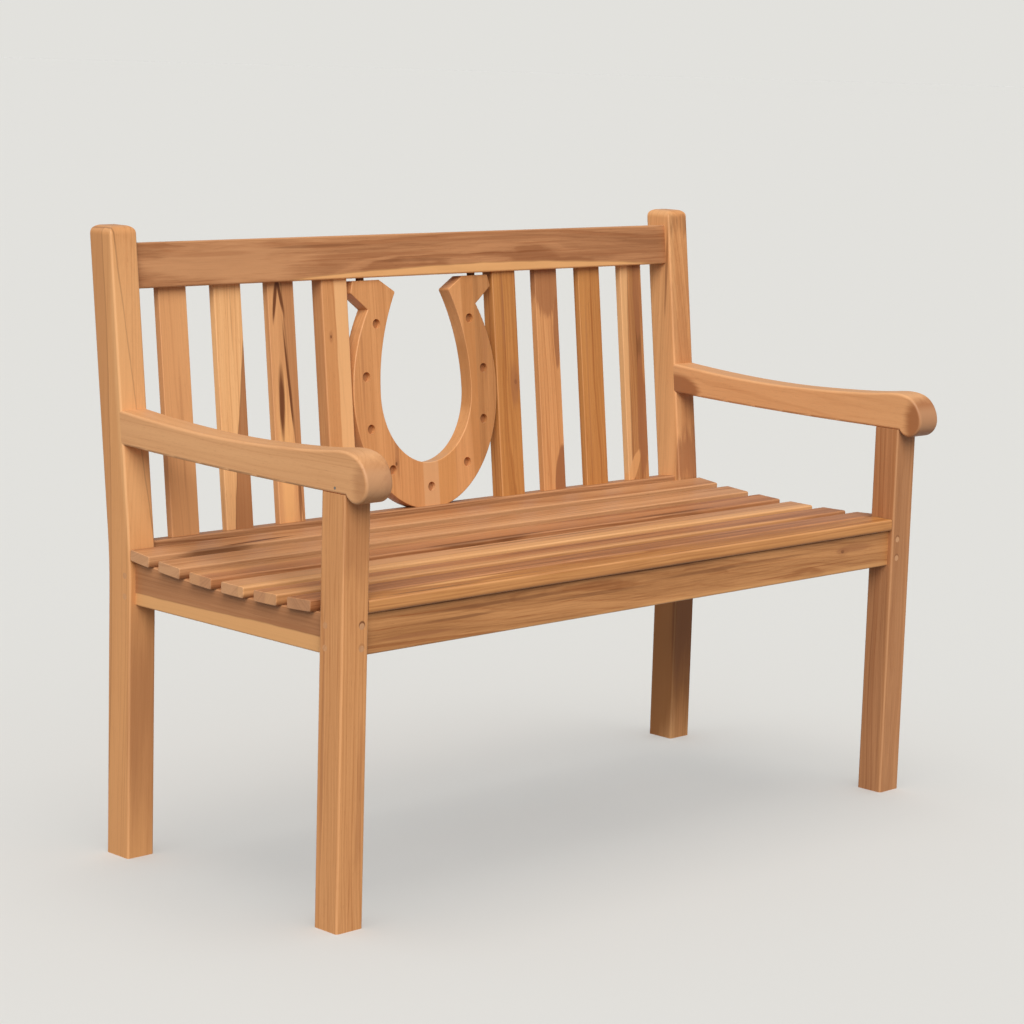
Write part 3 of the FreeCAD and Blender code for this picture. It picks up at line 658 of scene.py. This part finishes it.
def paint_horseshoe():
    """Staves from the left, each cut from another board; y is along the bench."""
    woods = (
        (HONEY, [flame(0.0, 0.0, 0.10, 0.004, HEARTWOOD_AND_SHADE, 0.35)]),
        (HONEY, [flame(-0.08, 0.012, 0.09, 0.006, HEARTWOOD_AND_SHADE, 0.6), knot(-0.11, 0.010, 0.003)]),
        (HONEY, []),
        (PALE, [
            band(0, (0.012, 0.012, 0.012), HEARTWOOD_AND_SHADE, 0.25),
            flame(0.0, 0.0, 0.3, 0.1, TAN[0], 0.8),
        ]),
        (HONEY, [flame(0.0, 0.0, 0.4, 0.1, GOLDEN[0], 0.4)]),
        (HONEY, [band(0, (0.014, 0.008, 0.000), GOLDEN[1], 0.6)]),
        (DEEP_GOLD, [flame(0.05, 0.0, 0.12, 0.008, HEARTWOOD_AND_SHADE, 0.4)]),
    )
    for number, (tones, marks) in enumerate(woods, start=1):
        node = f"horseshoe_stave_{number}"
        # The floors of the nail holes get painted shade.
        teak(node, UP_BACK, X, tones, marks, 0.6, shaded_side=NAIL_HOLE_SHADE)


def paint_pegs():
    """Pegs and dowels: the grain runs the way each is driven, so that their ends show end grain."""
    for node in ("front_rail_pegs", "lower_rail_pegs", "top_rail_pegs"):
        teak(node, Y, X, TAN)
    teak("side_rail_pegs", X, Y, HONEY)
    for node in ("horseshoe_tip_dowels", "horseshoe_foot_dowels"):
        teak(node, UP_BACK, X, SHADED)


def steel(node):
    """Brushed stainless steel with fine scratches."""
    dark, light = STEEL
    material, graph = empty_material("steel_" + node)
    place = graph.node("ShaderNodeTexCoord").outputs["Object"]
    scratch = graph.noise(place, SCRATCHES, detail=3.0)
    tone = graph.mix(scratch, dark, light)
    roughness = graph.math("MULTIPLY_ADD", scratch, STEEL_ROUGHNESS, STEEL_ROUGHNESS)
    inputs = {"Base Color": tone, "Roughness": roughness, "Metallic": 1.0}
    graph.finish(graph.node("ShaderNodeBsdfPrincipled", inputs))
    dress(node, material)


def make_floor():
    """A wide pale floor that meets a background of exactly its own lit colour.

    The bench gets its light from below from the dome, and none from the floor, which is brighter.
    """
    bpy.ops.mesh.primitive_circle_add(vertices=FLOOR_SIDES, radius=FLOOR_RADIUS, fill_type="NGON")
    floor = bpy.context.object
    floor.name = "studio_floor"
    material, graph = empty_material("pale_floor")
    graph.finish(graph.node("ShaderNodeBsdfDiffuse", {"Color": (*FLOOR_ALBEDO, 1.0)}))
    floor.data.materials.append(material)
    floor.visible_diffuse = False
    return floor


def make_world():
    """A backdrop of the floor's colour for the camera, and a dome that is brighter above than below."""
    world = bpy.data.worlds.new("studio")
    world.use_nodes = True
    world.node_tree.nodes.clear()
    graph = Graph(world.node_tree)
    seen = tuple(FLOOR_LIGHT * channel for channel in FLOOR_ALBEDO)
    upward = graph.parts(graph.node("ShaderNodeTexCoord").outputs["Generated"])["Z"]
    above = graph.step(upward, -HORIZON_BLUR, HORIZON_BLUR)
    strength = graph.math("MULTIPLY_ADD", above, SKY_LIGHT - GROUND_LIGHT, GROUND_LIGHT)
    dome = graph.node("ShaderNodeBackground", {"Color": (1.0, 1.0, 1.0, 1.0), "Strength": strength})
    backdrop = graph.node("ShaderNodeBackground", {"Color": (*seen, 1.0), "Strength": 1.0})
    ray = graph.node("ShaderNodeLightPath").outputs["Is Camera Ray"]
    either = graph.node("ShaderNodeMixShader", {0: ray, 1: dome.outputs[0], 2: backdrop.outputs[0]})
    graph.finish(either, "ShaderNodeOutputWorld")
    bpy.context.scene.world = world


def make_sun(name, colour, softness, angles, lit, shadows=True):
    """A sun that lights only these objects.

    angles are its height and its turn in degrees; with no turn it shines from the front.
    """
    height, turn = (math.radians(angle) for angle in angles)
    lamp = bpy.data.lights.new(name, "SUN")
    lamp.energy = max(colour)
    lamp.color = [channel / max(colour) for channel in colour]
    lamp.angle = math.radians(softness)
    sun = bpy.data.objects.new(name, lamp)
    bpy.context.scene.collection.objects.link(sun)
    level = math.cos(height)
    toward = Vector((math.sin(turn) * level, -math.cos(turn) * level, math.sin(height)))
    sun.rotation_euler = toward.to_track_quat("Z", "Y").to_euler()
    receivers = bpy.data.collections.new(name + "_receivers")
    for piece in lit:
        receivers.objects.link(piece)
    sun.light_linking.receiver_collection = receivers
    if not shadows:
        sun.light_linking.blocker_collection = receivers


def make_lights(floor):
    """A wide key from the front left for the bench, and two overhead lights that even out the floor.

    The floor's fill casts no shadow and is a little blue, which keeps the shadow under the bench a
    neutral grey in spite of the brown light from the wood.
    """
    overhead = [math.pi * (FLOOR_LIGHT - SKY_LIGHT - fill) for fill in FLOOR_FILL]
    floor_fill = [math.pi * fill for fill in FLOOR_FILL]
    make_sun("key", (KEY_STRENGTH,) * 3, KEY_SOFTNESS, KEY_ANGLES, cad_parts.values())
    make_sun("overhead", overhead, OVERHEAD_SOFTNESS, STRAIGHT_DOWN, [floor])
    make_sun("floor_fill", floor_fill, OVERHEAD_SOFTNESS, STRAIGHT_DOWN, [floor], shadows=False)


def make_camera():
    """A camera from its place, yaw, pitch and roll; with no yaw it looks along +Y."""
    data = bpy.data.cameras.new("camera")
    data.lens = CAMERA_LENS
    data.sensor_width = SENSOR
    camera = bpy.data.objects.new("camera", data)
    bpy.context.scene.collection.objects.link(camera)
    yaw, pitch, roll = (math.radians(angle) for angle in (CAMERA_YAW, CAMERA_PITCH, CAMERA_ROLL))
    level = math.cos(pitch)
    forward = Vector((-math.sin(yaw) * level, math.cos(yaw) * level, math.sin(pitch)))
    right = Vector((math.cos(yaw), math.sin(yaw), 0.0))
    up = right.cross(forward)
    turned_right = math.cos(roll) * right + math.sin(roll) * up
    turned_up = math.cos(roll) * up - math.sin(roll) * right
    turn = Matrix((turned_right, turned_up, -forward)).transposed()
    camera.matrix_world = Matrix.Translation(CAMERA_PLACE) @ turn.to_4x4()
    bpy.context.scene.camera = camera


paint_legs()
paint_arms()
paint_rails()
paint_seat()
paint_back()
paint_horseshoe()
paint_pegs()
steel("arm_pins")
steel("seat_slat_screws")
make_world()
make_lights(make_floor())
make_camera()
bpy.context.scene.view_settings.view_transform = "Standard"
